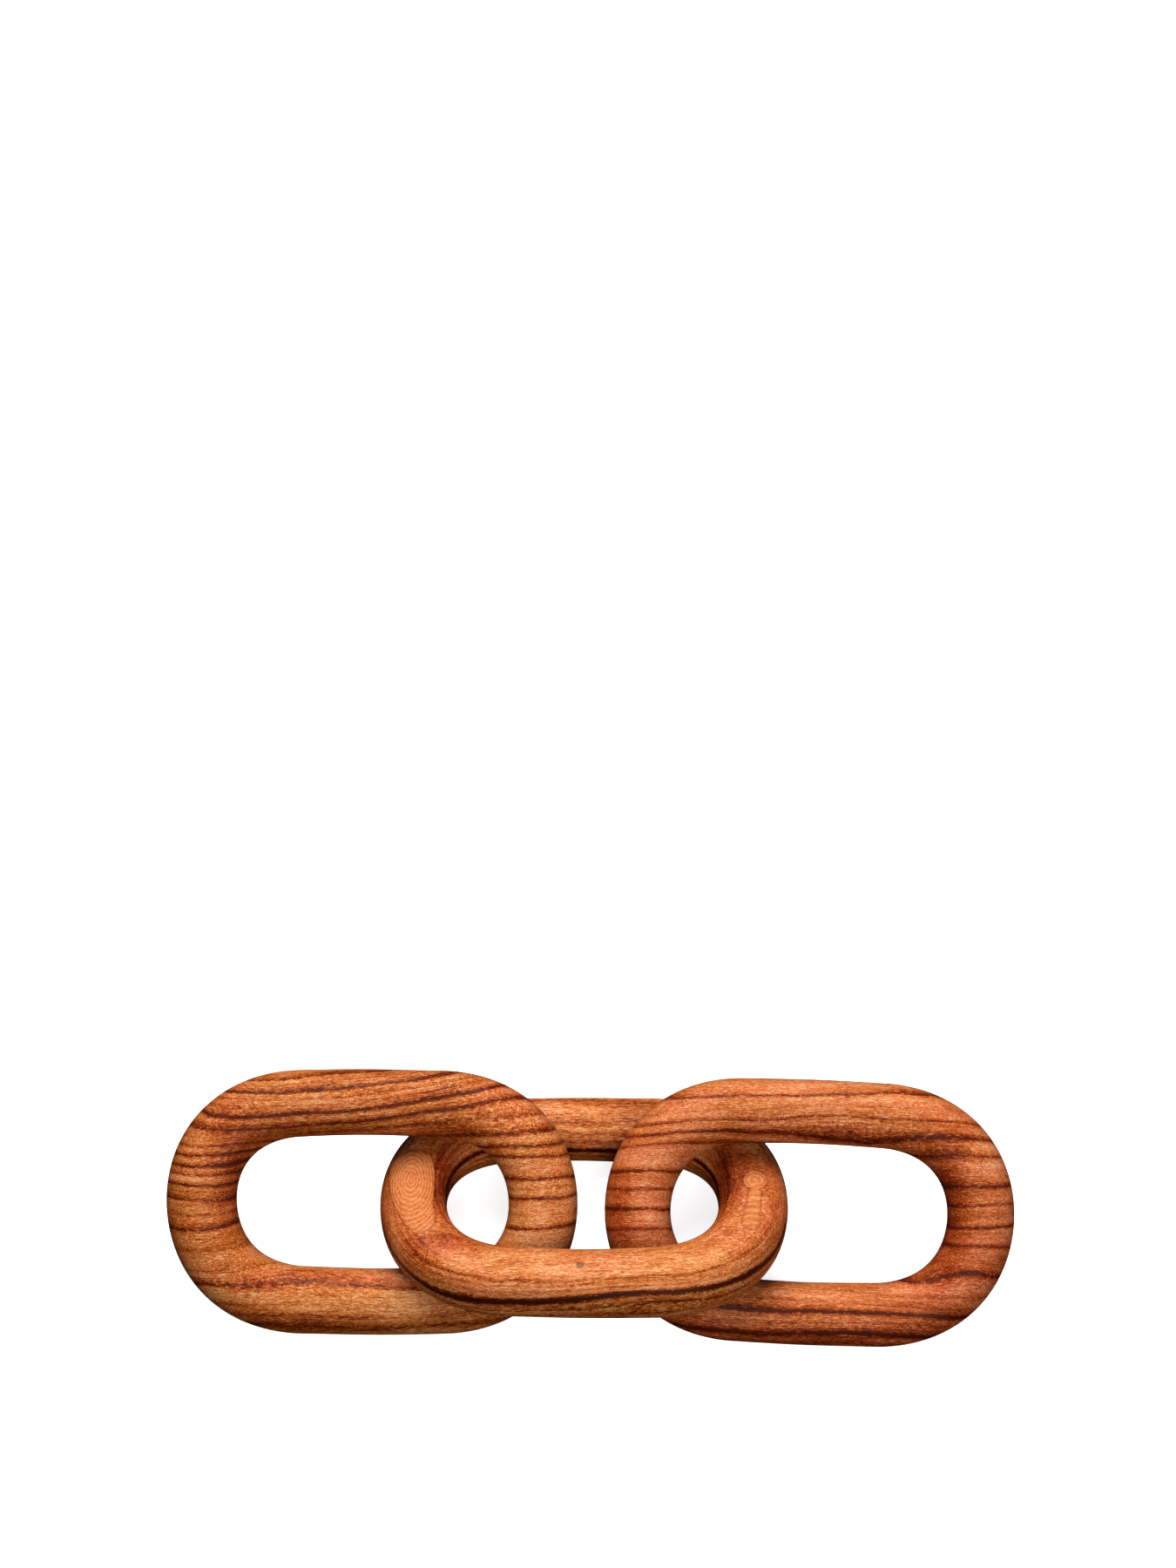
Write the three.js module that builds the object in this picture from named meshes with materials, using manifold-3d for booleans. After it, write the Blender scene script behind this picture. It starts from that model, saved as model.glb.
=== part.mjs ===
// A decorative wooden chain of three interlocked links, carved loose from one billet of hardwood.
// It lies collapsed on a table: the end links lean back and the middle link leans forward, so that
// each link has one long side on the table and the other side on top of a neighbour.
// Millimetres, +Z up, +X along the chain from the left link to the right one, +Y away from the
// viewer. The origin is the middle of the footprint, on the table.
import * as THREE from "three";
import { mergeVertices } from "three/addons/utils/BufferGeometryUtils.js";
import Module from "manifold-3d";

const wasm = await Module();
wasm.setup();

// Driving dimensions that the links share.
const STEPS = 58; // rings round a link
const SIDES = 26; // corners of a ring
const SQUARENESS = 2.35; // 2 is a round bar, more is a bar with softly flattened faces
const REST_FLAT = 0.35; // how deep the underside is worn flat where a link meets the table
const TABLE = { length: 500, width: 300, thickness: 40 };
const WELD = 1e-4; // corners nearer to each other than this are one corner
const ROUGHNESS = 0.45; // oiled wood with a satin sheen

// One entry for each link, as the carver left it. length and width are outer sizes, bar is the
// thickness of the long sides, and swell is how much thicker the round ends are. taper makes the
// bar's radius larger towards +x and towards +y. corner fills out the four corners, skew leans
// them over like a parallelogram, and bow bends the long sides outwards. x and y place the middle
// of the link, turn is its heading on the table, and lean is its tilt about its own length.
const LINKS = [
  {
    name: "link_left",
    length: 154.0,
    width: 99.6,
    bar: 24.7,
    swell: 1.4,
    taper: [-0.1, 0],
    corner: 0.9,
    skew: -1.0,
    bow: 0.85,
    x: -80.3,
    y: -6.1,
    turn: 1.8,
    lean: 22.0,
    color: 0xab6633,
  },
  {
    name: "link_middle",
    length: 152.8,
    width: 99.1,
    bar: 23.5,
    swell: 2.0,
    taper: [0.27, -0.35],
    corner: 1.3,
    skew: -0.4,
    bow: 1.1,
    x: -1.2,
    y: -7.3,
    turn: 0.4,
    lean: -23.6,
    color: 0xb06a3e,
  },
  {
    name: "link_right",
    length: 153.4,
    width: 99.6,
    bar: 23.7,
    swell: 1.2,
    taper: [0.07, 0.17],
    corner: 0.85,
    skew: 0.4,
    bow: 0.8,
    x: 83.4,
    y: -10.1,
    turn: -3.0,
    lean: 23.4,
    color: 0xa65a30,
  },
];

// The middle line of a link's bar: two straight sides and two half-round ends, a little uneven.
class LinkPath extends THREE.Curve {
  constructor(link) {
    super();
    this.link = link;
    const thickness = link.bar + link.swell;
    const radius = (link.width - link.bar) / 2;
    const straight = (link.length - thickness) / 2 - radius;
    this.straight = straight;
    this.outline = new THREE.Path()
      .absarc(straight, 0, radius, 0, Math.PI / 2)
      .absarc(-straight, 0, radius, Math.PI / 2, (3 * Math.PI) / 2)
      .absarc(straight, 0, radius, (3 * Math.PI) / 2, 2 * Math.PI);
  }

  // How far the carved line stands outside the even one.
  unevenness(point, t) {
    const { corner, skew, bow } = this.link;
    const pastStraight = Math.max(Math.abs(point.x) - this.straight, 0);
    const endAngle = Math.atan2(Math.abs(point.y), pastStraight);
    const turn = 2 * Math.PI * t;
    return (
      corner * Math.sin(2 * endAngle) ** 2 +
      skew * Math.sin(2 * turn) -
      bow * Math.sin(2 * turn) ** 2
    );
  }

  getPoint(t, target = new THREE.Vector3()) {
    const point = this.outline.getPointAt(t);
    const tangent = this.outline.getTangentAt(t);
    const offset = this.unevenness(point, t);
    return target.set(
      point.x + offset * tangent.y,
      point.y - offset * tangent.x,
      0,
    );
  }
}

// The bar's radius a share t of the way round the link, from the middle of its +x end.
function barRadius({ bar, swell, taper }, t) {
  const turn = 2 * Math.PI * t;
  const mean = (bar + swell / 2) / 2;
  return (
    mean +
    (swell / 4) * Math.cos(2 * turn) +
    taper[0] * Math.cos(turn) +
    taper[1] * Math.sin(turn)
  );
}

// A closed tube along the path, its rings scaled to the carved radius and softly squared.
function linkGeometry(link) {
  const path = new LinkPath(link);
  const tube = new THREE.TubeGeometry(path, STEPS, 1, SIDES, true);
  const position = tube.getAttribute("position");
  const centre = new THREE.Vector3();
  const spoke = new THREE.Vector3();
  for (let ring = 0; ring <= STEPS; ring++) {
    const t = (ring % STEPS) / STEPS;
    path.getPointAt(t, centre);
    for (let side = 0; side <= SIDES; side++) {
      const index = ring * (SIDES + 1) + side;
      spoke.fromBufferAttribute(position, index).sub(centre).normalize();
      const inPlane = Math.hypot(spoke.x, spoke.y) ** SQUARENESS;
      const acrossPlane = Math.abs(spoke.z) ** SQUARENESS;
      const squared = (inPlane + acrossPlane) ** (-1 / SQUARENESS);
      spoke.multiplyScalar(barRadius(link, t) * squared).add(centre);
      position.setXYZ(index, spoke.x, spoke.y, spoke.z);
    }
  }
  return tube;
}

// A solid for cutting, made from a closed mesh.
function solidOf(geometry) {
  const bare = geometry.clone();
  bare.deleteAttribute("normal");
  bare.deleteAttribute("uv");
  const merged = mergeVertices(bare, WELD);
  return new wasm.Manifold(
    new wasm.Mesh({
      numProp: 3,
      vertProperties: merged.getAttribute("position").array,
      triVerts: new Uint32Array(merged.index.array),
    }),
  );
}

// The mesh of a solid, after cutting.
function geometryOf(solid) {
  const mesh = solid.getMesh();
  const geometry = new THREE.BufferGeometry();
  geometry.setAttribute(
    "position",
    new THREE.BufferAttribute(mesh.vertProperties, 3),
  );
  geometry.setIndex(new THREE.BufferAttribute(mesh.triVerts, 1));
  geometry.computeVertexNormals();
  return geometry;
}

// Lets the link down on the table and cuts the worn flat into its underside.
function setDown(mesh) {
  mesh.updateMatrixWorld(true);
  const lowest = new THREE.Box3().setFromObject(mesh, true).min.z;
  mesh.position.z -= lowest + REST_FLAT;
  mesh.updateMatrixWorld(true);
  const table = new THREE.BoxGeometry(
    TABLE.length,
    TABLE.width,
    TABLE.thickness,
  );
  table.translate(0, 0, -TABLE.thickness / 2);
  table.applyMatrix4(mesh.matrixWorld.clone().invert());
  const worn = solidOf(mesh.geometry).subtract(solidOf(table));
  mesh.geometry = geometryOf(worn);
}

// One link with its own wood, leaning and turned as it lies.
function buildLink(link) {
  const wood = new THREE.MeshStandardMaterial({
    color: link.color,
    roughness: ROUGHNESS,
    metalness: 0,
  });
  const mesh = new THREE.Mesh(linkGeometry(link), wood);
  mesh.name = link.name;
  mesh.position.set(link.x, link.y, 0);
  mesh.rotation.order = "ZXY";
  mesh.rotation.x = THREE.MathUtils.degToRad(link.lean);
  mesh.rotation.z = THREE.MathUtils.degToRad(link.turn);
  setDown(mesh);
  return mesh;
}

const chain = new THREE.Group();
for (const link of LINKS) chain.add(buildLink(link));

// Moves the middle of the footprint to the origin.
const footprint = new THREE.Box3()
  .setFromObject(chain, true)
  .getCenter(new THREE.Vector3());
chain.position.set(-footprint.x, -footprint.y, 0);

export default chain;
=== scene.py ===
# A carved wooden chain of three loose links, dressed for the photograph's view.
import math

import bpy
import numpy as np
from mathutils import Matrix, Vector
from mathutils.bvhtree import BVHTree


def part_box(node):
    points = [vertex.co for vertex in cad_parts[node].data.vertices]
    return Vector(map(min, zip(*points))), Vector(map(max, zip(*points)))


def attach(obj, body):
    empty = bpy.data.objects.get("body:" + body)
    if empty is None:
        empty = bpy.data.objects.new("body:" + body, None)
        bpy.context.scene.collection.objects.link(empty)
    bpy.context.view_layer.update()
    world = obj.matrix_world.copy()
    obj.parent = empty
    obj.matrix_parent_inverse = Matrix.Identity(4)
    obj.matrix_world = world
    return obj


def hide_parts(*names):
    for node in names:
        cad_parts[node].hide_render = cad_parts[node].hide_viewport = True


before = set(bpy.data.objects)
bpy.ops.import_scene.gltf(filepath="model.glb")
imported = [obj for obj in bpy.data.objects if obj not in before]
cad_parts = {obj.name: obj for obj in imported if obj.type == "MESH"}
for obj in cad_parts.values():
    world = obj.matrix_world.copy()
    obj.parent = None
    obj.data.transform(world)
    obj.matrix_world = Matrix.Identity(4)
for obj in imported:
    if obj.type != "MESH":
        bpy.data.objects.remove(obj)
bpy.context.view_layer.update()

MM = 0.001  # lengths are in millimetres where nothing else is said
RINGS = 420  # rings round a link
SIDES = 120  # corners of a ring
PATH_STEPS = 6000  # steps along the bar's middle line, before it is shared out to rings
LOOK_AHEAD = 0.6  # how far along the bar, either way, its direction is taken
SQUARENESS = 2.35  # 2 is a round bar, more is a bar with softly flattened faces
REST_FLAT = 0.35  # how deep the underside is worn flat where a link meets the table

# The camera of the photograph, which is 1350 by 1800 pixels: degrees, metres and pixels.
PICTURE = (1350, 1800)
FOCAL = 5400.0
ELEVATION = 73.58
AZIMUTH = 0.1
DISTANCE = 1.7965
ORIGIN_PIXEL = (677.5, 1409.3)  # where the origin of the chain lies in the picture

# The links' dimensions are those of the CAD source, in millimetres and degrees.
LINKS = {
    "left": dict(length=154.0, width=99.6, bar=24.7, swell=1.4, taper=(-0.1, 0.0),
                 corner=0.9, skew=-1.0, bow=0.85, turn=1.8, lean=22.0),
    "middle": dict(length=152.8, width=99.1, bar=23.5, swell=2.0, taper=(0.27, -0.35),
                   corner=1.3, skew=-0.4, bow=1.1, turn=0.4, lean=-23.6),
    "right": dict(length=153.4, width=99.6, bar=23.7, swell=1.2, taper=(0.07, 0.17),
                  corner=0.85, skew=0.4, bow=0.8, turn=-3.0, lean=23.4),
}

# Where dark growth lines run in the photograph: the layer that a line belongs to,
# in millimetres across the wood, and pixels on it. Between the lines the layers follow smoothly.
PICKED_LINES = {
    "left": (
        (48.6, ((310, 1240), (340, 1236), (370, 1233), (400, 1231))),
        (44, ((269, 1254), (300, 1254), (332, 1255), (365, 1252), (395, 1249), (440, 1244),
              (480, 1239), (514, 1233))),
        (36, ((235, 1277), (254, 1282), (285, 1283), (311, 1281), (345, 1279), (374, 1276),
              (417, 1275), (443, 1270), (483, 1264), (525, 1258), (560, 1249), (577, 1247))),
        (31.5, ((223, 1293), (250, 1298), (290, 1297), (332, 1294), (374, 1290), (430, 1286),
                (462, 1281), (514, 1274), (567, 1265), (598, 1260))),
        (28, ((556, 1283), (590, 1280), (619, 1277))),
        (20.3, ((202, 1324), (220, 1327), (240, 1327), (262, 1325), (275, 1322))),
        (16.4, ((200, 1335), (220, 1338), (240, 1339), (262, 1337), (270, 1335))),
        (13, ((197, 1346), (220, 1349), (240, 1349), (262, 1347))),
        (8.6, ((195, 1357), (215, 1361), (240, 1361), (262, 1359))),
        (2, ((193, 1373), (215, 1377), (240, 1378), (260, 1377), (268, 1375))),
        (-9, ((198, 1409), (215, 1412), (238, 1412), (252, 1409), (270, 1403))),
        (-29.5, ((238, 1475), (269, 1478), (311, 1475), (332, 1470), (364, 1475), (400, 1477),
                 (440, 1479), (478, 1481))),
        (-44.5, ((300, 1520), (343, 1522), (395, 1526))),
        (24.4, ((525, 1304), (550, 1304), (577, 1304), (600, 1302), (615, 1299))),
        (20.3, ((565, 1316), (600, 1316), (632, 1314))),
        (16.4, ((575, 1328), (598, 1329), (625, 1328), (649, 1326))),
        (8.6, ((582, 1353), (620, 1353), (653, 1351))),
        (2, ((586, 1376), (619, 1377), (653, 1374))),
        (-9, ((584, 1409), (600, 1411), (615, 1412), (640, 1409), (657, 1405))),
    ),
    "middle": (
        (4, ((470, 1462), (499, 1481), (546, 1492), (619, 1494), (699, 1487), (744, 1483),
             (807, 1479), (850, 1466), (871, 1456))),
        (0.5, ((546, 1503), (619, 1505), (699, 1501), (807, 1492))),
        (11, ((625, 1263), (660, 1263), (700, 1265), (740, 1267))),
        (4, ((670, 1321), (700, 1322))),
    ),
    "right": (
        (45, ((772, 1262), (839, 1259), (885, 1258), (930, 1258), (989, 1256), (1048, 1255),
              (1069, 1257))),
        (35, ((744, 1293), (786, 1287), (840, 1286), (892, 1285), (930, 1281))),
        (25, ((711, 1319), (729, 1316), (765, 1313), (795, 1313), (830, 1311))),
        (7, ((700, 1365), (735, 1365), (769, 1366))),
        (-9, ((702, 1412), (735, 1411), (772, 1411))),
        (30, ((985, 1311), (1017, 1308), (1059, 1307), (1091, 1305), (1133, 1310))),
        (14, ((1095, 1364), (1128, 1362))),
        (-1, ((1105, 1410), (1133, 1409))),
        (-20, ((1055, 1472), (1091, 1464), (1115, 1462), (1143, 1466))),
        (-35.5, ((880, 1504), (933, 1506), (1006, 1508), (1060, 1511), (1101, 1513))),
        (-43.5, ((880, 1531), (930, 1531), (985, 1531), (1069, 1535))),
    ),
}

# A layer that lies along the flat top of the middle link's front bar, in the link's own frame.
FLAT_LAYER = (13.5, ((-42, -36, 11.8), (-15, -38, 11.7), (15, -38, 11.7), (42, -35, 11.8)))

# How far a picked line pulls the layers along: in x, in y and in z.
PULL_REACH = {"left": (20.0, 7.0, 14.0), "middle": (22.0, 22.0, 7.0), "right": (20.0, 7.0, 14.0)}
PULL_SLACK = 0.02

# Dark growth lines across the layers: place, how far they fade below and above, and darkness.
LINES = {
    "left": ((-44.5, 1.2, 1.6, 0.6), (-40.0, 0.5, 1.5, 0.25), (-35.5, 0.4, 1.2, 0.25),
             (-29.5, 0.4, 1.4, 0.65), (-24.5, 0.5, 0.8, 0.25), (-16.0, 0.5, 1.0, 0.2),
             (-9.0, 0.6, 1.2, 0.85), (-4.0, 0.5, 0.8, 0.2), (2.0, 0.6, 1.0, 0.85),
             (5.4, 0.4, 0.6, 0.25), (8.6, 0.6, 0.9, 0.85), (13.0, 0.5, 0.8, 0.6),
             (16.4, 0.6, 0.9, 0.9), (20.3, 0.6, 0.9, 0.9), (24.4, 0.5, 0.9, 0.75),
             (28.0, 0.5, 0.8, 0.5), (31.5, 0.6, 1.1, 0.9), (36.0, 0.6, 1.2, 1.0),
             (39.0, 0.4, 0.8, 0.3), (41.3, 0.4, 0.8, 0.3), (44.0, 0.6, 1.2, 0.85),
             (46.2, 0.4, 0.9, 0.4), (48.3, 0.7, 0.9, 0.7)),
    "middle": ((-10.5, 0.5, 1.0, 0.7), (-6.0, 0.4, 1.2, 0.4), (-2.0, 0.5, 1.0, 0.4),
               (0.5, 0.4, 0.9, 0.5), (4.0, 0.9, 0.8, 2.2), (7.2, 0.3, 0.5, 0.3),
               (9.2, 0.3, 0.4, 0.3), (11.0, 0.35, 0.5, 0.5)),
    "right": ((-47.5, 0.8, 0.8, 0.45), (-43.5, 1.0, 1.2, 1.1), (-39.5, 0.5, 0.8, 0.3),
              (-35.5, 0.8, 1.4, 1.2), (-31.5, 0.4, 0.8, 0.3), (-26.0, 0.5, 0.8, 0.2),
              (-20.0, 0.7, 1.3, 0.85), (-9.0, 0.6, 1.2, 0.6), (-1.0, 0.6, 1.0, 0.85),
              (7.0, 0.5, 0.9, 0.6), (14.0, 0.6, 1.0, 0.85), (25.0, 0.6, 1.0, 0.7),
              (30.0, 0.7, 1.2, 0.9), (35.0, 0.4, 0.8, 0.6), (39.5, 0.4, 0.6, 0.15),
              (45.0, 0.5, 1.1, 0.75)),
}
LINE_DARKNESS = 1.3
LINE_PROFILE = ((2.2, 0.0), (0.9, 0.35))  # reaches from the core outwards, and the darkness there
LINES_A_RAMP = 6  # a colour ramp holds 32 stops, and a line takes five
LINE_ROOM = 3.0  # room for the halo of a ramp's first and last line, in the line's own widths
RAMP_MARGIN = 0.5
STOP_GAP = 0.01  # least distance between two stops

# The pale patches where the carver's crest on the middle link grazes an earlier layer. The left
# one's outline is given in the photograph. The right one is a keyhole: a round head over a
# stem that widens downwards, in the link's own frame.
PATCH_OUTLINE = ((472, 1320), (485, 1322), (496, 1330), (499, 1351), (497, 1380), (499, 1400),
                 (490, 1412), (476, 1415), (462, 1400), (450, 1375), (447, 1351), (452, 1333))
PATCH_CENTRE = (-64.3, 2.0)
PATCH_STRETCH = 2.1  # how much longer than wide the left patch's rings are
PATCH_RING = 1.05  # width of one turn of the fine rings
KEY_HEAD = (64.2, 1.0)
KEY_RADIUS = 4.4
KEY_RING = 1.9
STEM_TOP, STEM_FOOT = (64.0, -5.0), (62.0, -19.4)
STEM_NARROW, STEM_WIDE = 2.2, 3.2  # half-widths
STEM_RING = 2.9
STEM_SAG = 0.02  # how much the stem's bars curve
STEM_BELOW = -3.6  # y under which the key's rings turn into bars
PATCH_FLOOR = 5.0  # a patch is only on the upper side, above this z
OUTSIDE = -9.0  # depth in a patch of what lies far outside it

# Soft spots: x, y, half-width in x, half-width in y, amount. They set how strongly the growth lines
# show, redness, lightness, curly figure and dark dashes. The lightness spots are partly the wood's
# own lighter and darker patches and partly painted shade and light: painted shade on the inner rims
# of the link ends and in the contact shadow where the middle link lies over the left one, and
# painted light where one link's shadow falls on another.
MOODS_AND_PAINTED_LIGHT = {
    "left": {
        "lines": ((-60, 24.4, 18, 3, -0.6), (60, 13, 25, 2.2, -0.8), (-20, 27, 40, 3, -0.5)),
        "red": ((55, 35, 18, 12, 0.5), (-15, -27, 34, 3, 0.6), (-51, 10, 7, 24, 0.4),
                (-5, -36, 34, 4, -0.4)),
        # lightness: the wood's own patches, with painted shade on inner rims and in a contact
        # shadow, and painted light in cast shadow
        "light": ((-51, 10, 8, 24, -0.25), (-40, 26, 12, 5, -0.14), (10, 27, 60, 4, -0.09),
                  (60, 5, 12, 26, 0.1), (45, 32, 6, 6, 0.13), (0, -35, 30, 5, 0.16),
                  (14, -40, 12, 8, 0.12), (-32, 42, 28, 7, 0.07), (-62, 27, 6, 6, 0.06),
                  (58, -7, 8, 6, 0.06), (12, -48, 26, 4, 0.14), (26, -37, 6, 5, -0.14),
                  (-74, 10, 5, 30, -0.05), (-42, -24, 10, 5, -0.06)),
        "ripple": ((-52, -24, 18, 10, 1.0), (29, 44, 15, 6, 1.0)),
        "dash": ((0, 38, 60, 14, 0.6), (0, -36, 60, 14, 0.6)),
    },
    "middle": {
        "lines": ((-71, -8, 11, 28, -0.8), (72, 2, 10, 26, -0.8)),
        "red": ((-62, 0, 16, 34, 0.5), (64, 0, 14, 34, 0.5), (-53, -28, 14, 5, 0.5)),
        # lightness: the wood's own patches, with painted shade on the inner rims of both ends
        "light": ((0, -40, 50, 9, 0.12), (-53, 4, 5, 17, -0.4), (-50, -27, 13, 4.5, -0.26),
                  (54, 2, 6, 15, -0.36), (-74, 2, 4, 22, -0.12), (66, 20, 6, 6, 0.22),
                  (45, -38, 20, 8, 0.06), (-69, -27, 5, 8, 0.12), (-10, 40, 25, 8, 0.06),
                  (66, 0, 13, 30, -0.08), (-66, 18, 5, 6, 0.2), (-66, -26, 8, 8, -0.05)),
        "ripple": ((-64, -30, 10, 9, 0.8), (56, -24, 10, 6, 0.8)),
        "dash": ((0, 40, 60, 14, 1.0), (0, -40, 60, 14, 1.0)),
    },
    "right": {
        "lines": ((-62, 25, 20, 3, -0.2),),
        "red": ((-60, 0, 20, 20, 0.2), (62, -20, 20, 20, 0.4), (50, 8, 7, 24, 0.3)),
        # lightness: the wood's own patches, with painted shade on the inner rims of the ends
        "light": ((0, 44, 60, 8, 0.09), (50, 8, 8, 25, -0.28), (40, 27, 14, 4, -0.08),
                  (-59, 14, 7, 5, 0.12), (-59, -2, 7, 5, 0.1), (-72, 0, 5, 14, -0.18),
                  (55, -6, 7, 9, -0.1), (-5, -29, 22, 4, 0.12), (-5, -40, 22, 3, 0.06),
                  (50, -34, 12, 6, -0.14), (64, 27, 7, 6, 0.15), (-70, -10, 6, 7, -0.12),
                  (-45, 30, 8, 4, 0.06)),
        "ripple": ((-8, 37, 42, 7, 0.8), (10, -39, 30, 3, 0.7)),
        "dash": ((0, -40, 60, 14, 0.6), (0, 40, 60, 14, 0.3)),
    },
}

# Where the billet turns olive or darker across the layers: it starts and is full at a layer, and
# adds redness, dark dashes and lightness.
ZONES = {
    "left": dict(start=-37.5, full=-40.5, red=-0.5, dashes=0.9, light=-0.07),
    "middle": dict(start=3.0, full=1.0, red=-0.4, dashes=0.6, light=-0.03),
    "right": dict(start=-38.0, full=-42.0, red=0.1, dashes=0.5, light=-0.12),
}

# Knots and pin holes on the upper side: x, y, radius, and how dark. One over the size of
# PALE_CORED has a pale core.
MARKS = {
    "left": ((-1.0, 35.0, 0.7, 0.9), (20.5, 35.5, 0.35, 0.5)),
    "middle": ((-1.6, -38.8, 2.0, 0.6), (9.0, -38.5, 0.55, 0.5), (4.6, -41.5, 0.5, 0.5),
               (3.6, -45.5, 0.6, 0.45), (14.0, -42.5, 0.5, 0.5)),
    "right": ((-20.0, 33.5, 0.4, 0.5),),
}
PALE_CORED = 1.0

# How strongly each kind of texture shows on a link, how red and light the wood is, where in the
# noise it lies, and the colour of its growth lines.
STYLES = {
    "left": dict(speckle=1.0, streak=0.7, red=0.15, light=0.015, seed=3.0, ink=(84, 18, 0)),
    "middle": dict(speckle=0.9, streak=1.0, red=0.25, light=0.03, seed=17.0, ink=(60, 12, 0)),
    "right": dict(speckle=0.9, streak=0.6, red=0.55, light=0.015, seed=41.0, ink=(84, 16, 0)),
}
SEED_STEP = (31, 17, 7)

# Noise in the wood: how fine it is along the fibres, across the layers and the third way, its
# detail and roughness, and how much of it there is.
TEXTURES = {
    "wave": ((0.07, 0.16, 0.07), 1.0, 0.5, 1.4),
    "jag": ((0.4, 0.6, 0.4), 2.0, 0.6, 1.0),
    "fray": ((0.6, 2.2, 2.2), 1.0, 0.6, 0.8),
    "broad": ((0.03, 0.14, 0.05), 2.0, 0.5, 1.0),
    "bands": ((0.022, 0.5, 0.05), 2.0, 0.6, 1.0),
    "mottle": ((0.07, 0.5, 0.35), 2.0, 0.5, 1.0),
    "streak": ((0.1, 1.2, 1.0), 2.0, 0.6, 1.0),
    "speckle": ((0.55, 2.6, 2.6), 1.0, 0.6, 1.0),
    "dust": ((1.3, 2.9, 2.9), 1.0, 0.6, 1.0),
}
BASE_TONE = 0.55
RINGS_PER_MM = 7.0 / (2 * math.pi)

# Colours as the wood shows them in the studio light, from the darkest tone to the lightest.
GOLDEN = ((0.0, (70, 16, 0)), (0.25, (140, 50, 4)), (0.5, (205, 103, 32)),
          (0.75, (243, 154, 84)), (1.0, (255, 204, 144)))
RUDDY = ((0.0, (70, 13, 0)), (0.25, (142, 43, 10)), (0.5, (205, 88, 38)),
         (0.75, (243, 139, 88)), (1.0, (255, 194, 148)))
PALE = ((0.0, (160, 66, 20)), (0.35, (208, 104, 46)), (0.65, (232, 138, 76)),
        (1.0, (250, 176, 116)))
PATCH_RIM = (96, 34, 12)
MARK_RIM = (70, 26, 8)
MARK_CORE = (160, 104, 62)
ROUGHNESS = 0.56
POLISH = 0.14  # how much smoother the lightest wood is than the darkest
SHEEN = 0.2
SHEEN_TINT = (1.0, 0.62, 0.4, 1)
PORE_STRENGTH = 0.5
PORE_DEPTH = 0.0001  # metres
STUDIO_GAIN = 1.85  # how much brighter than its own colour a surface shows in the light

# Disk lights aimed at the chain: place and size in metres, watts, colour.
LIGHTS = {
    "key": ((-0.15, 1.0, 1.25), 1.4, 50, (1, 1, 1)),
    "fill": ((0.2, -0.9, 1.3), 1.0, 17, (1, 1, 1)),
    "side": ((1.3, 0.0, 0.4), 0.5, 3.5, (0.7, 0.75, 1.0)),
}
LIGHT_AIM = (0, 0, 0.02)
# How far under and over the horizon the sky changes, and its strength below and above.
SKY = (-0.1, 0.1, 0.13, 0.32)
FLOOR_HALF = 6  # metres


def camera_frame():
    """Where the camera stands, and a matrix whose columns point right, up and back from it."""
    elevation, azimuth = math.radians(ELEVATION), math.radians(AZIMUTH)
    back = Vector((math.sin(azimuth) * math.cos(elevation),
                   -math.cos(azimuth) * math.cos(elevation), math.sin(elevation)))
    right = Vector((math.cos(azimuth), math.sin(azimuth), 0))
    up = back.cross(right)
    place = back * DISTANCE
    pitch = math.atan((PICTURE[1] / 2 - ORIGIN_PIXEL[1]) / FOCAL)
    yaw = math.atan((ORIGIN_PIXEL[0] - PICTURE[0] / 2) / FOCAL * math.cos(pitch))
    tipped = math.cos(pitch) * back + math.sin(pitch) * up
    up = -math.sin(pitch) * back + math.cos(pitch) * up
    back = math.sin(yaw) * right + math.cos(yaw) * tipped
    right = math.cos(yaw) * right - math.sin(yaw) * tipped
    return place, Matrix((right, up, back)).transposed()


def path_points(sizes):
    """The bar's middle line, even steps apart: two straight sides and two half-round ends."""
    thickness = sizes["bar"] + sizes["swell"]
    radius = (sizes["width"] - sizes["bar"]) / 2
    straight = (sizes["length"] - thickness) / 2 - radius
    quarter = math.pi * radius / 2
    total = 4 * quarter + 4 * straight
    s = np.linspace(0, total, PATH_STEPS, endpoint=False)
    x, y, nx, ny = (np.zeros(PATH_STEPS) for _ in range(4))
    ends = [0, quarter, quarter + 2 * straight, 3 * quarter + 2 * straight,
            3 * quarter + 4 * straight, total]
    arc_starts = {0: 0.0, 2: math.pi / 2, 4: 1.5 * math.pi}
    for k, (start, end) in enumerate(zip(ends[:-1], ends[1:])):
        on = (s >= start) & (s < end)
        run = s[on] - start
        if k in arc_starts:
            centre = -straight if k == 2 else straight
            angle = arc_starts[k] + run / radius
            nx[on], ny[on] = np.cos(angle), np.sin(angle)
            x[on], y[on] = centre + radius * nx[on], radius * ny[on]
        else:
            side = 1 if k == 1 else -1
            x[on], y[on] = side * (straight - run), side * radius
            ny[on] = side
    turn = 2 * math.pi * s / total
    end_angle = np.arctan2(np.abs(y), np.maximum(np.abs(x) - straight, 0))
    offset = (sizes["corner"] * np.sin(2 * end_angle) ** 2 + sizes["skew"] * np.sin(2 * turn)
              - sizes["bow"] * np.sin(2 * turn) ** 2)
    return np.stack([x + offset * nx, y + offset * ny], 1)


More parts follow.
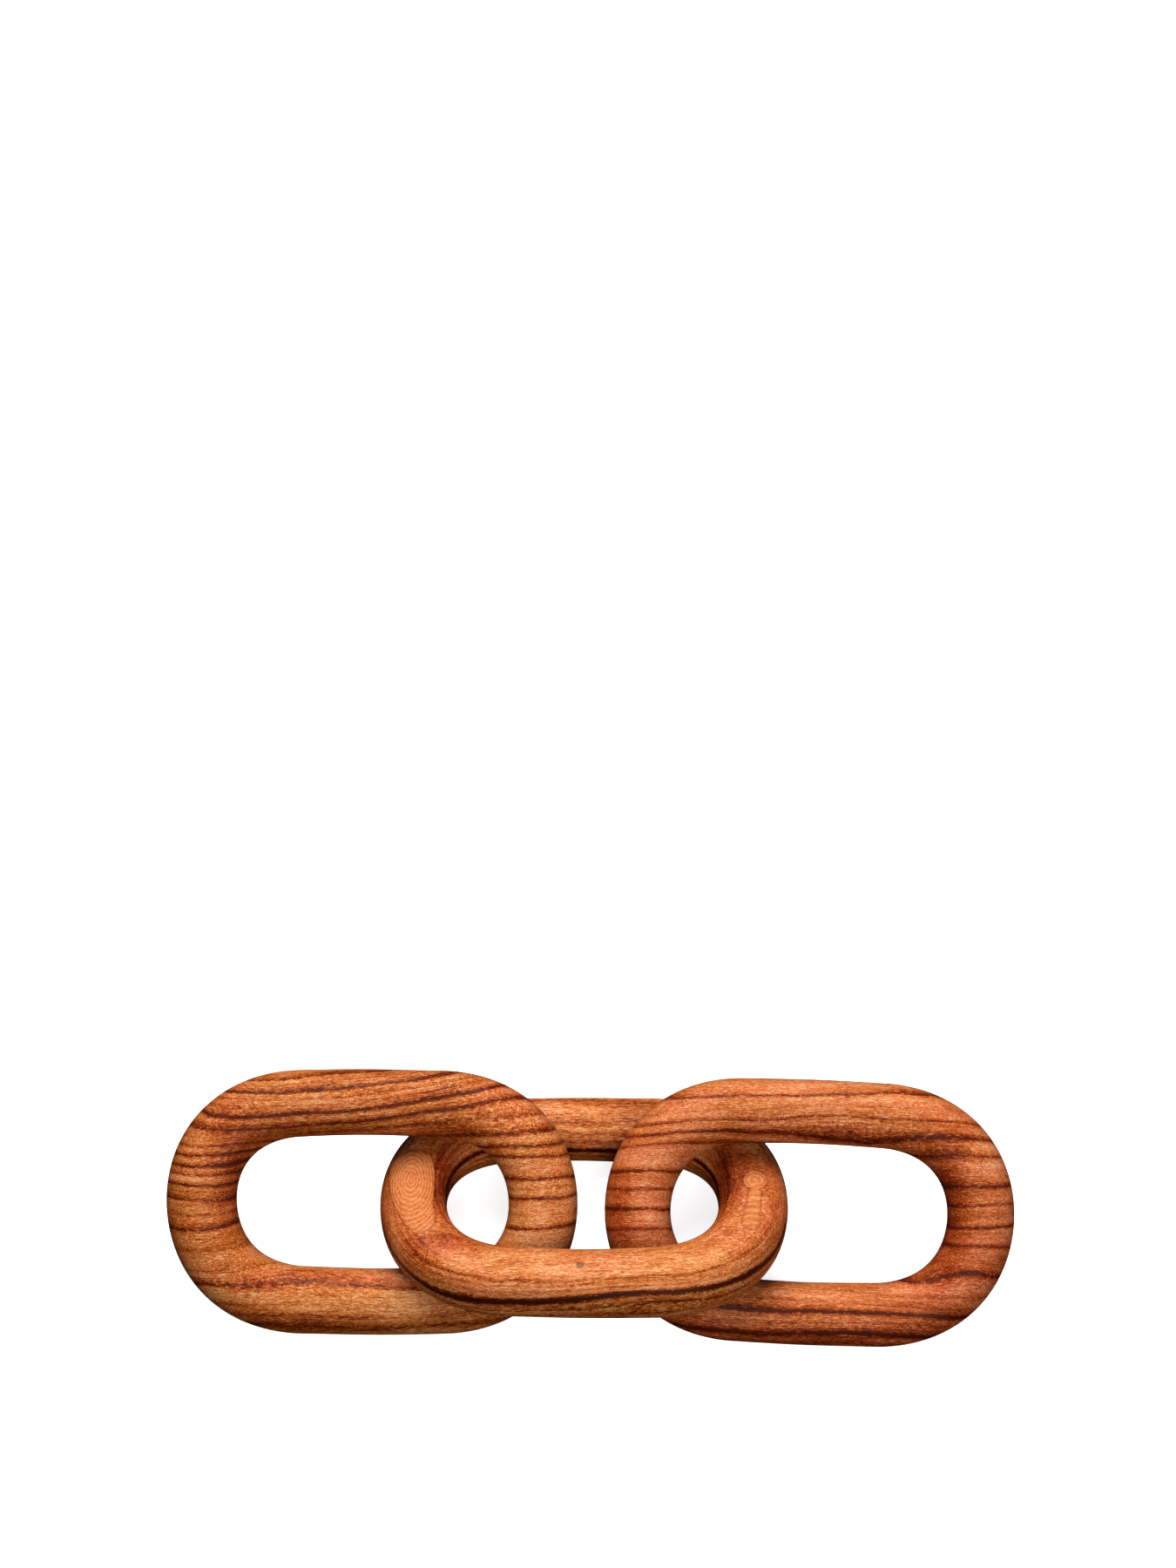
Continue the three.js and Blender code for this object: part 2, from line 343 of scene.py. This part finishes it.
def rings_of(sizes):
    """The rings' centres, their outward directions and the bar's radii, even steps apart."""
    path = path_points(sizes)
    closed = np.vstack([path, path[:1]])
    run = np.concatenate([[0], np.cumsum(np.hypot(*np.diff(closed, axis=0).T))])
    total = run[-1]
    want = np.linspace(0, total, RINGS, endpoint=False)

    def on_path(at):
        return np.stack([np.interp(at, run, closed[:, axis]) for axis in (0, 1)], 1)

    tangent = on_path((want + LOOK_AHEAD) % total) - on_path((want - LOOK_AHEAD) % total)
    tangent /= np.hypot(*tangent.T)[:, None]
    outward = np.stack([tangent[:, 1], -tangent[:, 0]], 1)
    turn = 2 * math.pi * want / total
    mean = (sizes["bar"] + sizes["swell"] / 2) / 2
    radius = (mean + sizes["swell"] / 4 * np.cos(2 * turn) + sizes["taper"][0] * np.cos(turn)
              + sizes["taper"][1] * np.sin(turn))
    return on_path(want), outward, radius


def tube_points(sizes):
    """The tube's corners in the link's own frame, ring by ring."""
    centre, outward, radius = rings_of(sizes)
    around = np.linspace(0, 2 * math.pi, SIDES, endpoint=False) - math.pi / 2
    c, s = np.cos(around), np.sin(around)
    squared = (np.abs(c) ** SQUARENESS + np.abs(s) ** SQUARENESS) ** (-1 / SQUARENESS)
    reach = radius[:, None] * squared[None, :]
    point = np.zeros((RINGS, SIDES, 3))
    point[..., :2] = centre[:, None, :] + (reach * c)[..., None] * outward[:, None, :]
    point[..., 2] = reach * s
    return point.reshape(-1, 3)


def tube_faces():
    """The four corners of every face of a closed tube."""
    ring, side = np.meshgrid(np.arange(RINGS), np.arange(SIDES), indexing="ij")
    next_ring, next_side = (ring + 1) % RINGS, (side + 1) % SIDES
    corners = ((ring, side), (next_ring, side), (next_ring, next_side), (ring, next_side))
    return np.stack([r * SIDES + s for r, s in corners], -1).reshape(-1, 4)


class Link:
    """A link in its own frame, how it lies on the table, and how its growth layers run."""

    def __init__(self, name):
        self.name = name
        self.points = tube_points(LINKS[name])
        turn, lean = (math.radians(LINKS[name][key]) for key in ("turn", "lean"))
        self.spin = np.array(Matrix.Rotation(turn, 3, "Z") @ Matrix.Rotation(lean, 3, "X"))
        self.shift = self.find_shift()
        self.tree = BVHTree.FromPolygons(self.on_table().tolist(), tube_faces().tolist())
        self.find_layers()

    def find_shift(self):
        """Puts the link in the middle of its CAD box, and sinks its worn flat into the table."""
        spun = self.points @ self.spin.T
        low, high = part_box("link_" + self.name)
        shift = (np.array(low) + np.array(high)) / 2 / MM - (spun.min(0) + spun.max(0)) / 2
        shift[2] = -REST_FLAT - spun[:, 2].min()
        return shift

    def on_table(self):
        world = self.points @ self.spin.T + self.shift
        world[:, 2] = np.maximum(world[:, 2], 0)
        return world

    def under_pixels(self, pixels):
        """Points of the link that the photograph's pixels show, in the link's own frame."""
        place, axes = camera_frame()
        hits = []
        for across, down in pixels:
            ray = Vector((across - PICTURE[0] / 2, PICTURE[1] / 2 - down, -FOCAL))
            hits.append(self.tree.ray_cast(place / MM, (axes @ ray).normalized())[0])
        return (np.array(hits) - self.shift) @ self.spin

    def find_layers(self):
        """Weights that pull the flat layers of the billet through the growth lines."""
        lines = [(value, self.under_pixels(line)) for value, line in PICKED_LINES[self.name]]
        if self.name == "middle":
            lines.append((FLAT_LAYER[0], np.array(FLAT_LAYER[1])))
        self.across = 2 if self.name == "middle" else 1
        self.reach = np.array(PULL_REACH[self.name])
        self.knots = np.vstack([line for _, line in lines])
        layer = np.concatenate([np.full(len(line), value) for value, line in lines])
        gap = (self.knots[:, None, :] - self.knots[None, :, :]) / self.reach
        pull = np.exp(-(gap ** 2).sum(2) / 2) + PULL_SLACK * np.eye(len(layer))
        self.weights = np.linalg.solve(pull, layer - self.knots[:, self.across])

    def grain_at(self, points):
        """Along the fibres, across the growth layers and the third way, in millimetres."""
        shift = np.zeros(len(points))
        for knot, weight in zip(self.knots, self.weights):
            shift += weight * np.exp(-(((points - knot) / self.reach) ** 2).sum(1) / 2)
        third = 3 - self.across
        return np.stack([points[:, 0], points[:, self.across] + shift, points[:, third]], 1)

    def mark_places(self):
        """Grain coordinates of the small marks, each on the nearest point of the upper side."""
        upper = self.points[self.points[:, 2] > 0]
        nearest = [np.hypot(upper[:, 0] - x, upper[:, 1] - y).argmin()
                   for x, y, *_ in MARKS[self.name]]
        return self.grain_at(upper[nearest])


def spot_field(spots, points, start=0.0):
    """A smooth field from soft spots: x, y, half-width in x, half-width in y, amount."""
    field = np.full(len(points), start)
    for x, y, wide, high, amount in spots:
        near = ((points[:, 0] - x) / wide) ** 2 + ((points[:, 1] - y) / high) ** 2
        field += amount * np.exp(-near)
    return field


def off_segment(points, a, b):
    """Distances of points from a straight piece, and how far along it they are."""
    share = np.clip(((points - a) @ (b - a)) / ((b - a) @ (b - a)), 0, 1)
    return np.hypot(*(points - a - share[:, None] * (b - a)).T), share


def in_capsule(points, start, end, start_half, end_half):
    """Depth inside a rounded bar, from its half-widths at the start and at the end."""
    distance, share = off_segment(points, np.array(start), np.array(end))
    return start_half + (end_half - start_half) * share - distance


def smooth_outline(corners, steps=6):
    """A closed curve through the corners."""
    curve = []
    for k in range(len(corners)):
        p0, p1, p2, p3 = (corners[(k + i) % len(corners)] for i in (-1, 0, 1, 2))
        for t in np.linspace(0, 1, steps, endpoint=False):
            curve.append(0.5 * (2 * p1 + (p2 - p0) * t + (2 * p0 - 5 * p1 + 4 * p2 - p3) * t ** 2
                                + (3 * p1 - p0 - 3 * p2 + p3) * t ** 3))
    return np.array(curve)


def in_outline(points, corners):
    """Depth inside a rounded outline, in millimetres, and less than nothing outside it."""
    curve = smooth_outline(corners)
    distance = np.full(len(points), np.inf)
    inside = np.zeros(len(points), bool)
    x, y = points.T
    for a, b in zip(curve, np.roll(curve, -1, 0)):
        distance = np.minimum(distance, off_segment(points, a, b)[0])
        if a[1] != b[1]:
            beside = (y > min(a[1], b[1])) & (y <= max(a[1], b[1]))
            inside ^= beside & (x < a[0] + (y - a[1]) / (b[1] - a[1]) * (b[0] - a[0]))
    return np.where(inside, distance, -distance)


def patch_field(link):
    """How deep a point lies inside a pale patch."""
    if link.name != "middle":
        return np.full(len(link.points), OUTSIDE)
    flat = link.points[:, :2]
    left = in_outline(flat, link.under_pixels(PATCH_OUTLINE)[:, :2])
    head = KEY_RADIUS - np.hypot(*(flat - KEY_HEAD).T)
    stem = in_capsule(flat, STEM_TOP, STEM_FOOT, STEM_NARROW, STEM_WIDE)
    deepest = np.maximum(np.maximum(left, head), stem)
    return np.where(link.points[:, 2] > PATCH_FLOOR, np.maximum(deepest, OUTSIDE), OUTSIDE)


def contour_field(points):
    """Turns of the fine rings in the pale patches: ellipses on the left, then rings and bars."""
    x, y = points[:, 0], points[:, 1]
    left = np.hypot(x - PATCH_CENTRE[0], (y - PATCH_CENTRE[1]) / PATCH_STRETCH) / PATCH_RING
    head = np.hypot(x - KEY_HEAD[0], y - KEY_HEAD[1]) / KEY_RING
    bars = (y + STEM_SAG * (x - (STEM_TOP[0] + STEM_FOOT[0]) / 2) ** 2) / STEM_RING
    return np.where(x < 0, left, np.where(y > STEM_BELOW, head, bars))


def add_picture_strips(mesh):
    """Two strips, each half of the way round the link, for the exported picture of the wood."""
    margin, half = 0.005, RINGS // 2
    ring, side = np.meshgrid(np.arange(RINGS), np.arange(SIDES), indexing="ij")
    corners = []
    for ahead, beside in ((0, 0), (1, 0), (1, 1), (0, 1)):
        u = margin + (1 - 2 * margin) * (ring % half + ahead) / half
        v = margin + ring // half * 0.5 + (0.5 - 3 * margin) * (side + beside) / SIDES
        corners.append(np.stack([u, v], -1))
    layer = mesh.uv_layers.new(name="OFBake")
    layer.data.foreach_set("uv", np.stack(corners, 2).reshape(-1).astype(np.float32))


def add_fields(mesh, link):
    """What the material needs to know about each point of the link, three values a field."""
    moods_and_painted_light = MOODS_AND_PAINTED_LIGHT[link.name]
    points = link.points
    fields = {
        # place in the wood
        "grain": link.grain_at(points),
        # strength of the growth lines, redness, and lightness that is partly the wood's own and
        # partly painted shade and light
        "mood_and_painted_light": np.stack([spot_field(moods_and_painted_light["lines"], points, 1.0),
                          spot_field(moods_and_painted_light["red"], points),
                          spot_field(moods_and_painted_light["light"], points)], 1),
        # depth inside a pale patch, ripple and dark dashes
        "figure": np.stack([patch_field(link),
                            spot_field(moods_and_painted_light["ripple"], points),
                            spot_field(moods_and_painted_light["dash"], points)], 1),
        # turns of a patch's rings, the same three times
        "contour": np.repeat(contour_field(points)[:, None], 3, 1),
    }
    for key, values in fields.items():
        attribute = mesh.attributes.new(key, "FLOAT_VECTOR", "POINT")
        attribute.data.foreach_set("vector", values.reshape(-1).astype(np.float32))


def build_link(link):
    mesh = bpy.data.meshes.new(link.name + "_wood")
    mesh.from_pydata((link.on_table() * MM).tolist(), [], tube_faces().tolist())
    mesh.shade_smooth()
    add_picture_strips(mesh)
    add_fields(mesh, link)
    piece = bpy.data.objects.new("wood_" + link.name, mesh)
    bpy.context.scene.collection.objects.link(piece)
    return piece


def seen(rgb):
    """The wood's own colour, from the colour that it shows under the studio light."""
    return [((c / 255 + 0.055) / 1.055) ** 2.4 / STUDIO_GAIN for c in rgb] + [1.0]


class Nodes:
    """Small helpers for a material's node tree. A value is a number or another node's output."""

    def __init__(self, name):
        self.material = bpy.data.materials.new(name)
        self.material.use_nodes = True
        self.tree = self.material.node_tree
        self.tree.nodes.clear()

    def add(self, kind, **settings):
        node = self.tree.nodes.new(kind)
        for key, value in settings.items():
            setattr(node, key, value)
        return node

    def put(self, socket, value):
        if hasattr(value, "links"):
            self.tree.links.new(value, socket)
        else:
            socket.default_value = value

    def fill(self, node, *values):
        for socket, value in zip(node.inputs, values):
            self.put(socket, value)
        return node.outputs

    def math(self, operation, a, b=0.0, c=0.0, clamp=False):
        node = self.add("ShaderNodeMath", operation=operation, use_clamp=clamp)
        return self.fill(node, a, b, c)[0]

    def product(self, first, *others):
        for other in others:
            first = self.math("MULTIPLY", first, other)
        return first

    def total(self, base, *terms, clamp=False):
        """The base plus each value times its weight."""
        for number, (value, weight) in enumerate(terms, 1):
            last = number == len(terms)
            base = self.math("MULTIPLY_ADD", value, weight, base, clamp=clamp and last)
        return base

    def step(self, value, low, high, out_low=0.0, out_high=1.0):
        node = self.add("ShaderNodeMapRange", interpolation_type="SMOOTHSTEP")
        return self.fill(node, value, low, high, out_low, out_high)[0]

    def vectors(self, operation, a, b):
        return self.fill(self.add("ShaderNodeVectorMath", operation=operation), a, b)

    def attribute(self, name, output="Vector"):
        return self.add("ShaderNodeAttribute", attribute_name=name).outputs[output]

    def split(self, vector):
        return self.fill(self.add("ShaderNodeSeparateXYZ"), vector)

    def noise(self, place, fineness, detail=1.0, roughness=0.5, distortion=0.0):
        node = self.add("ShaderNodeTexNoise")
        self.put(node.inputs["Vector"], self.vectors("MULTIPLY", place, fineness)[0])
        node.inputs["Scale"].default_value = 1.0
        node.inputs["Detail"].default_value = detail
        node.inputs["Roughness"].default_value = roughness
        node.inputs["Distortion"].default_value = distortion
        return node.outputs["Fac"]

    def centred(self, value, amount=1.0):
        return self.product(self.math("SUBTRACT", value, 0.5), amount)

    def ramp(self, value, stops):
        node = self.add("ShaderNodeValToRGB")
        elements = node.color_ramp.elements
        while len(elements) < len(stops):
            elements.new(0.5)
        for element, (position, colour) in zip(elements, stops):
            element.position = position
            element.color = colour
        return self.fill(node, value)[0]

    def wood_ramp(self, value, colours):
        return self.ramp(value, [(position, seen(colour)) for position, colour in colours])

    def mix(self, factor, a, b):
        node = self.add("ShaderNodeMix", data_type="RGBA", blend_type="MIX", clamp_factor=True)
        self.put(node.inputs[0], factor)
        self.put(node.inputs[6], a)
        self.put(node.inputs[7], b)
        return node.outputs[2]


def line_stops(line):
    """Where the darkness of one growth line changes: a dark core in a soft halo."""
    place, below, above, dark = line
    under = [(place - reach * below, share) for reach, share in LINE_PROFILE]
    over = [(place + reach * above, share) for reach, share in reversed(LINE_PROFILE)]
    return [(at, LINE_DARKNESS * dark * share) for at, share in under + [(place, 1.0)] + over]


def line_ink(n, layer, lines):
    """How dark the growth lines are at a layer, shared out to as many ramps as they need."""
    ink = 0.0
    for first in range(0, len(lines), LINES_A_RAMP):
        group = lines[first:first + LINES_A_RAMP]
        low = group[0][0] - LINE_ROOM * group[0][1] - RAMP_MARGIN
        high = group[-1][0] + LINE_ROOM * group[-1][2] + RAMP_MARGIN
        stops = [(low, 0.0)]
        for line in group:
            for at, dark in line_stops(line):
                stops.append((max(at, stops[-1][0] + STOP_GAP), dark))
        spread = [((at - low) / (high - low), (dark, dark, dark, 1)) for at, dark in stops]
        share = n.math("DIVIDE", n.math("SUBTRACT", layer, low), high - low)
        ink = n.math("ADD", ink, n.ramp(share, spread))
    return ink


def growth_lines(n, grain, layer, tex, strength, lines):
    """The dark growth lines: wavy, jagged, frayed and here and there broken."""
    for name in ("wave", "jag", "fray"):
        layer = n.math("ADD", layer, tex[name])
    whole = n.step(n.noise(grain, (0.5, 1.6, 1.6), 2.0, 0.6), 0.35, 0.55, 0.5, 1.0)
    ink = n.product(line_ink(n, layer, lines), whole)
    return n.math("MULTIPLY", ink, strength, clamp=True)


def fine_rings(n, grain, layer, tex, ripple):
    """Faint rings that draw contours where the surface grazes the layers, and curly figure."""
    turns = n.product(n.total(layer, (tex["jag"], 0.6)), 2 * math.pi * RINGS_PER_MM)
    rings = n.product(n.math("SINE", turns), n.total(0.25, (ripple, 0.5)), 0.12)
    curl = n.centred(n.noise(grain, (1.2, 0.5, 0.5), 0.0, 0.5, 2.0), 0.6)
    return n.total(rings, (curl, ripple))


def wood_tone(n, grain, tex, rings, light, dashes, zone, name):
    """How light the wood is, from 0 to 1, without its dark growth lines. The lightness spots add
    painted shade on inner rims and in contact shadows and painted light where links shade each
    other.
    """
    style = STYLES[name]
    gold = n.step(n.noise(grain, (0.4, 2.2, 2.2), 1.0, 0.6), 0.5, 0.72)
    return n.total(
        n.math("ADD", rings, BASE_TONE + style["light"]),
        (tex["broad"], 0.4), (tex["bands"], 0.5), (tex["mottle"], 0.3),
        (tex["streak"], 0.42 * style["streak"]), (tex["speckle"], 0.8 * style["speckle"]),
        (tex["dust"], 0.85 * style["speckle"]), (gold, 0.26 * style["speckle"]),
        (zone, ZONES[name]["light"]), (light, 1.0), (dashes, -0.38), clamp=True)


def with_patches(n, colour, depth, tex):
    """Pale patches with fine rings and a soft dark rim."""
    inside = n.step(n.total(depth, (tex["jag"], 0.5)), -0.12, 0.25)
    rim = n.product(n.step(depth, -1.0, -0.1), n.step(depth, 0.5, -0.05), 0.45)
    edge = n.step(depth, 1.2, 0.2)
    turns = n.total(n.attribute("contour", "Fac"), (tex["jag"], 1.1))
    ridge = n.math("SINE", n.product(turns, 2 * math.pi))
    tone = n.total(BASE_TONE, (ridge, 0.17), (edge, -0.1), (tex["mottle"], 0.5),
                   (tex["dust"], 1.1), (tex["speckle"], 0.5), clamp=True)
    colour = n.mix(rim, colour, seen(PATCH_RIM))
    return n.mix(inside, colour, n.wood_ramp(tone, PALE))


def with_marks(n, colour, place, tex, link):
    """Knots and pin holes."""
    for at, (_, _, radius, dark) in zip(link.mark_places(), MARKS[link.name]):
        away = n.vectors("DISTANCE", place, tuple(at.tolist()))["Value"]
        away = n.total(away, (tex["jag"], 0.5 * radius))
        spot = n.step(away, radius, 0.6 * radius, 0.0, dark)
        colour = n.mix(spot, colour, seen(MARK_RIM))
        if radius > PALE_CORED:
            core = n.step(away, 0.55 * radius, 0.3 * radius, 0.0, 0.75)
            colour = n.mix(core, colour, seen(MARK_CORE))
    return colour


def oiled_surface(n, colour, tone, tex, dashes):
    """Satin oiled wood with open pores."""
    shader = n.add("ShaderNodeBsdfPrincipled")
    n.put(shader.inputs["Base Color"], colour)
    n.put(shader.inputs["Roughness"], n.total(ROUGHNESS, (tone, -POLISH)))
    shader.inputs["Specular IOR Level"].default_value = SHEEN
    shader.inputs["Specular Tint"].default_value = SHEEN_TINT
    bump = n.add("ShaderNodeBump")
    bump.inputs["Strength"].default_value = PORE_STRENGTH
    bump.inputs["Distance"].default_value = PORE_DEPTH
    n.put(bump.inputs["Height"], n.total(n.product(tex["speckle"], 0.5), (dashes, -0.5)))
    n.put(shader.inputs["Normal"], bump.outputs[0])
    n.fill(n.add("ShaderNodeOutputMaterial"), shader.outputs[0])


def wood(link):
    """Oiled hardwood: dark growth lines over rings, streaks, golden speckle and pores, with painted
    shade and light from the lightness spots.
    """
    n = Nodes("wood_" + link.name)
    style, change = STYLES[link.name], ZONES[link.name]
    place = n.attribute("grain")
    layer = n.split(place)[1]
    # the third value is lightness: partly the wood's own, partly painted shade and painted light
    strength, red, light = n.split(n.attribute("mood_and_painted_light"))
    depth, ripple, dash = n.split(n.attribute("figure"))
    grain = n.vectors("ADD", place, tuple(style["seed"] * step for step in SEED_STEP))[0]
    tex = {key: n.centred(n.noise(grain, fineness, detail, roughness), amount)
           for key, (fineness, detail, roughness, amount) in TEXTURES.items()}

    zone = n.step(n.total(layer, (tex["jag"], 2.0)), change["start"], change["full"])
    dashes = n.step(n.noise(grain, (0.25, 2.6, 2.6)), 0.55, 0.66)
    dashes = n.product(dashes, n.total(0.1, (dash, 0.6), (zone, 0.6 * change["dashes"])))
    ink = growth_lines(n, grain, layer, tex, strength, LINES[link.name])
    rings = fine_rings(n, grain, layer, tex, ripple)
    tone = wood_tone(n, grain, tex, rings, light, dashes, zone, link.name)
    tone = n.total(tone, (ink, -0.5), clamp=True)

    redness = n.total(red, (1.0, style["red"]), (tex["broad"], 1.5), (zone, change["red"]),
                      clamp=True)
    colour = n.mix(redness, n.wood_ramp(tone, GOLDEN), n.wood_ramp(tone, RUDDY))
    colour = n.mix(n.product(ink, ink, 0.9), colour, seen(style["ink"]))
    if link.name == "middle":
        colour = with_patches(n, colour, depth, tex)
    colour = with_marks(n, colour, place, tex, link)
    oiled_surface(n, colour, tone, tex, dashes)
    return n.material


def stage_floor():
    n = Nodes("floor")
    shader = n.add("ShaderNodeBsdfPrincipled")
    shader.inputs["Base Color"].default_value = (0.8, 0.8, 0.8, 1)
    shader.inputs["Roughness"].default_value = 0.9
    shader.inputs["Specular IOR Level"].default_value = 0.1
    shader.inputs["Emission Color"].default_value = (1, 1, 1, 1)
    shader.inputs["Emission Strength"].default_value = 0.8
    n.fill(n.add("ShaderNodeOutputMaterial"), shader.outputs[0])
    corners = [(x * FLOOR_HALF, y * FLOOR_HALF, 0) for x, y in ((-1, -1), (1, -1), (1, 1), (-1, 1))]
    mesh = bpy.data.meshes.new("floor")
    mesh.from_pydata(corners, [], [(0, 1, 2, 3)])
    mesh.materials.append(n.material)
    floor = bpy.data.objects.new("floor", mesh)
    bpy.context.scene.collection.objects.link(floor)
    # The white ground is overexposed, and its light would wash out the undersides of the links.
    floor.visible_diffuse = False
    floor.visible_glossy = False


def disk_light(name, place, size, power, colour):
    data = bpy.data.lights.new(name, "AREA")
    data.shape = "DISK"
    data.size = size
    data.energy = power
    data.color = colour
    lamp = bpy.data.objects.new(name, data)
    lamp.location = place
    towards = Vector(LIGHT_AIM) - Vector(place)
    lamp.rotation_euler = towards.to_track_quat("-Z", "Y").to_euler()
    bpy.context.scene.collection.objects.link(lamp)


def stage_sky():
    """A faint studio all round, brighter above than below."""
    world = bpy.data.worlds.new("studio")
    world.use_nodes = True
    tree = world.node_tree
    where = tree.nodes.new("ShaderNodeTexCoord")
    apart = tree.nodes.new("ShaderNodeSeparateXYZ")
    glow = tree.nodes.new("ShaderNodeMapRange")
    tree.links.new(where.outputs["Generated"], apart.inputs[0])
    tree.links.new(apart.outputs[2], glow.inputs[0])
    for socket, value in zip(glow.inputs[1:5], SKY):
        socket.default_value = value
    tree.links.new(glow.outputs[0], tree.nodes["Background"].inputs[1])
    bpy.context.scene.world = world


def photo_camera():
    """A 108 mm lens from about 74 degrees above the table, with the chain low in the frame."""
    place, axes = camera_frame()
    data = bpy.data.cameras.new("camera")
    data.sensor_width = 36
    data.lens = FOCAL / PICTURE[1] * data.sensor_width
    data.clip_start, data.clip_end = 0.01, 50
    camera = bpy.data.objects.new("camera", data)
    camera.matrix_world = Matrix.Translation(place) @ axes.to_4x4()
    bpy.context.scene.collection.objects.link(camera)
    bpy.context.scene.camera = camera


for name in LINKS:
    link = Link(name)
    piece = build_link(link)
    piece.data.materials.append(wood(link))
    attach(piece, "root")
    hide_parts("link_" + name)

stage_floor()
stage_sky()
for name, light in LIGHTS.items():
    disk_light(name, *light)
photo_camera()
settings = bpy.context.scene.view_settings
settings.view_transform = "Standard"
settings.look = "None"
